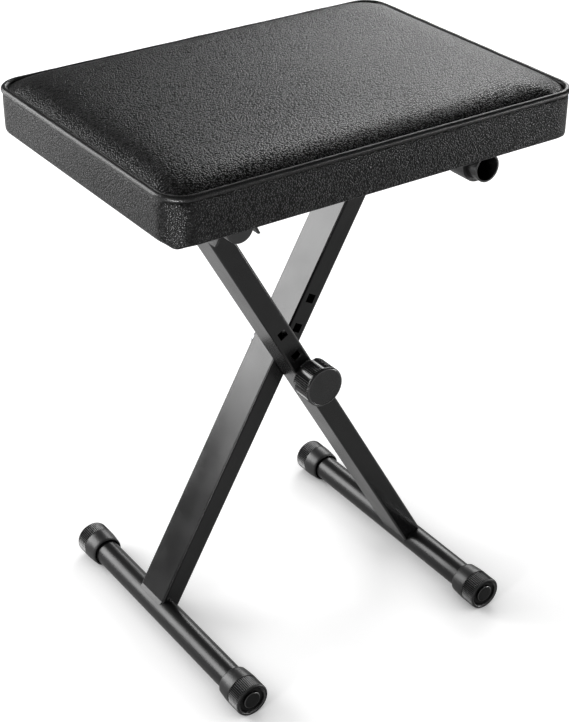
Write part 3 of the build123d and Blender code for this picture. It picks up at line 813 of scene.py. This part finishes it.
def make_knob():
    low, high = (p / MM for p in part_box("knob"))
    radius = (high.z - low.z) / 2
    centre = ((low.x + high.x) / 2, (low.z + high.z) / 2)
    insert_low, insert_high = (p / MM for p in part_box("knob_insert"))
    hole = (insert_high.z - insert_low.z) / 2
    height = high.y - low.y
    deep = height - (insert_high.y - insert_low.y)
    face = [(0.42, 0), (0.42, 9.0), (0.36, 14.3), (0.33, radius - 2.35)]
    rim = [
        (0.05, radius - 2.15), (0.0, radius - 1.95), (0.0, radius - 1.35), (0.12, radius - 1.0),
        (0.9, radius - 0.18),
    ]
    side = [(depth, radius) for depth in KNOB_SIDE]
    back = [(22.1, radius - 0.15), (height, radius - 0.8), (height, hole)]
    inside = [(deep, hole), (deep, BOLT_HOLE), (FACE_WALL, BOLT_HOLE), (FACE_WALL, 0)]
    profile = face + rim + side + back + inside
    made = turned("knob_grip", centre, low.y, 1, profile, KNOB_FLUTES * FLUTE_POINTS, knob_cut)
    sharpen(made, 45)
    made.data.materials.append(looks["knob_plastic"])
    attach(made, "clamp_knob")
    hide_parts("knob")


make_knob()


# stage: a pale floor, two soft boxes behind, a strip lamp at the left, and three cards low round the seat

FLOOR_HALF, FLOOR_Z, FLOOR_GREY = 15.0, -0.0003, 0.72
GLOW_NEAR, GLOW_FAR, GLOW_FROM, GLOW_TO = 0.7, 1.0, 0.9, 2.6
# reach, strength and samples of the painted contact shadow in the floor's glow
CONTACT_REACH, CONTACT_POWER, CONTACT_SAMPLES = 0.09, 1.2, 8
GLOSSY_FLOOR, GLOSSY_SKY = 0.1, 0.05
SKY_LIGHT, SKY_SEEN = 0.1, 1.0


def soft_box(name, at, aim, wide, tall, radiance):
    """A rectangular lamp of an even radiance, in metres."""
    data = bpy.data.lights.new(name, "AREA")
    data.shape = "RECTANGLE"
    data.size, data.size_y = wide, tall
    data.energy = radiance * math.pi * wide * tall
    lamp = bpy.data.objects.new(name, data)
    scene.collection.objects.link(lamp)
    lamp.location = at
    lamp.rotation_euler = (Vector(aim) - Vector(at)).to_track_quat("-Z", "Y").to_euler()
    return lamp


def narrowed(lamp, spread, share):
    """Keeps a lamp's beam to a cone of so many degrees, with a share of its power."""
    lamp.data.spread = math.radians(spread)
    lamp.data.energy *= share


soft_box("left_back_box", (-1.35, 1.6, 1.1), (0.0, 0.0, 0.45), 1.35, 1.3, 8.0)
soft_box("right_back_box", (1.78, 1.45, 1.3), (0.1, 0.0, 0.5), 1.2, 0.9, 6.3)
soft_box("edge_lamp", (-1.9, -0.75, 0.72), (-0.1, 0.0, 0.25), 0.22, 0.55, 24.0)
left_card = soft_box("left_card", (-0.8, -0.66, 0.03), (-0.2, -0.15, 0.5), 0.24, 0.24, 100.0)
narrowed(left_card, 40, 1 / 17)
soft_box("right_card", (1.55, -1.1, 0.03), (0.2, -0.15, 0.5), 0.5, 0.6, 28.0)
soft_box("back_card", (-0.8, 1.3, 0.03), (-0.2, 0.12, 0.5), 0.4, 0.4, 7.0)

floor_mesh = bpy.data.meshes.new("floor")
corners = [(x * FLOOR_HALF, y * FLOOR_HALF, FLOOR_Z) for x, y in ((-1, -1), (1, -1), (1, 1), (-1, 1))]
floor_mesh.from_pydata(corners, [], [(0, 1, 2, 3)])
floor = bpy.data.objects.new("floor", floor_mesh)
scene.collection.objects.link(floor)


def joined(tree, operation, first, second):
    """Two values or sockets through one math node."""
    node = tree.nodes.new("ShaderNodeMath")
    node.operation = operation
    for socket, value in zip(node.inputs, (first, second)):
        if hasattr(value, "is_output"):
            tree.links.new(value, socket)
        else:
            socket.default_value = value
    return node.outputs[0]


def seen_by_rays(tree, glossy_share):
    """1 for camera and transmission rays and a share of it for glossy ones, 0 for the rest."""
    path = tree.nodes.new("ShaderNodeLightPath")
    glossy = joined(tree, "MULTIPLY", path.outputs["Is Glossy Ray"], glossy_share)
    seen = joined(tree, "MAXIMUM", path.outputs["Is Camera Ray"], path.outputs["Is Transmission Ray"])
    return joined(tree, "MAXIMUM", seen, glossy)


def pale_floor():
    """A pale floor that reads white to the camera, with its shadows kept, and a painted contact shadow in
    its glow close under the feet.
    """
    material = bpy.data.materials.new("pale_floor")
    material.use_nodes = True
    tree = material.node_tree
    tree.nodes.clear()
    diffuse = tree.nodes.new("ShaderNodeBsdfDiffuse")
    diffuse.inputs["Color"].default_value = (FLOOR_GREY, FLOOR_GREY, FLOOR_GREY, 1)
    # painted shadow: the glow is dimmed by occlusion close under the feet
    near = tree.nodes.new("ShaderNodeAmbientOcclusion")
    near.samples = CONTACT_SAMPLES
    near.inputs["Distance"].default_value = CONTACT_REACH
    painted_contact_shadow = joined(tree, "POWER", near.outputs["AO"], CONTACT_POWER)
    place = tree.nodes.new("ShaderNodeNewGeometry")
    away = tree.nodes.new("ShaderNodeVectorMath")
    away.operation = "LENGTH"
    tree.links.new(place.outputs["Position"], away.inputs[0])
    ramp = tree.nodes.new("ShaderNodeMapRange")
    tree.links.new(away.outputs["Value"], ramp.inputs["Value"])
    ramp.inputs["From Min"].default_value = GLOW_FROM
    ramp.inputs["From Max"].default_value = GLOW_TO
    ramp.inputs["To Min"].default_value = GLOW_NEAR
    ramp.inputs["To Max"].default_value = GLOW_FAR
    lift = joined(tree, "MULTIPLY", painted_contact_shadow, ramp.outputs["Result"])
    glow = tree.nodes.new("ShaderNodeEmission")
    strength = joined(tree, "MULTIPLY", seen_by_rays(tree, GLOSSY_FLOOR), lift)
    tree.links.new(strength, glow.inputs["Strength"])
    both = tree.nodes.new("ShaderNodeAddShader")
    tree.links.new(diffuse.outputs[0], both.inputs[0])
    tree.links.new(glow.outputs[0], both.inputs[1])
    out = tree.nodes.new("ShaderNodeOutputMaterial")
    tree.links.new(both.outputs[0], out.inputs["Surface"])
    return material


floor_mesh.materials.append(pale_floor())

world = bpy.data.worlds.new("studio")
scene.world = world
world.use_nodes = True
sky = world.node_tree
backdrop = sky.nodes["Background"]
backdrop.inputs["Color"].default_value = (1, 1, 1, 1)
sky_level = sky.nodes.new("ShaderNodeMapRange")
sky.links.new(seen_by_rays(sky, GLOSSY_SKY), sky_level.inputs["Value"])
sky_level.inputs["To Min"].default_value = SKY_LIGHT
sky_level.inputs["To Max"].default_value = SKY_SEEN
sky.links.new(sky_level.outputs["Result"], backdrop.inputs["Strength"])

scene.view_settings.view_transform = "Standard"
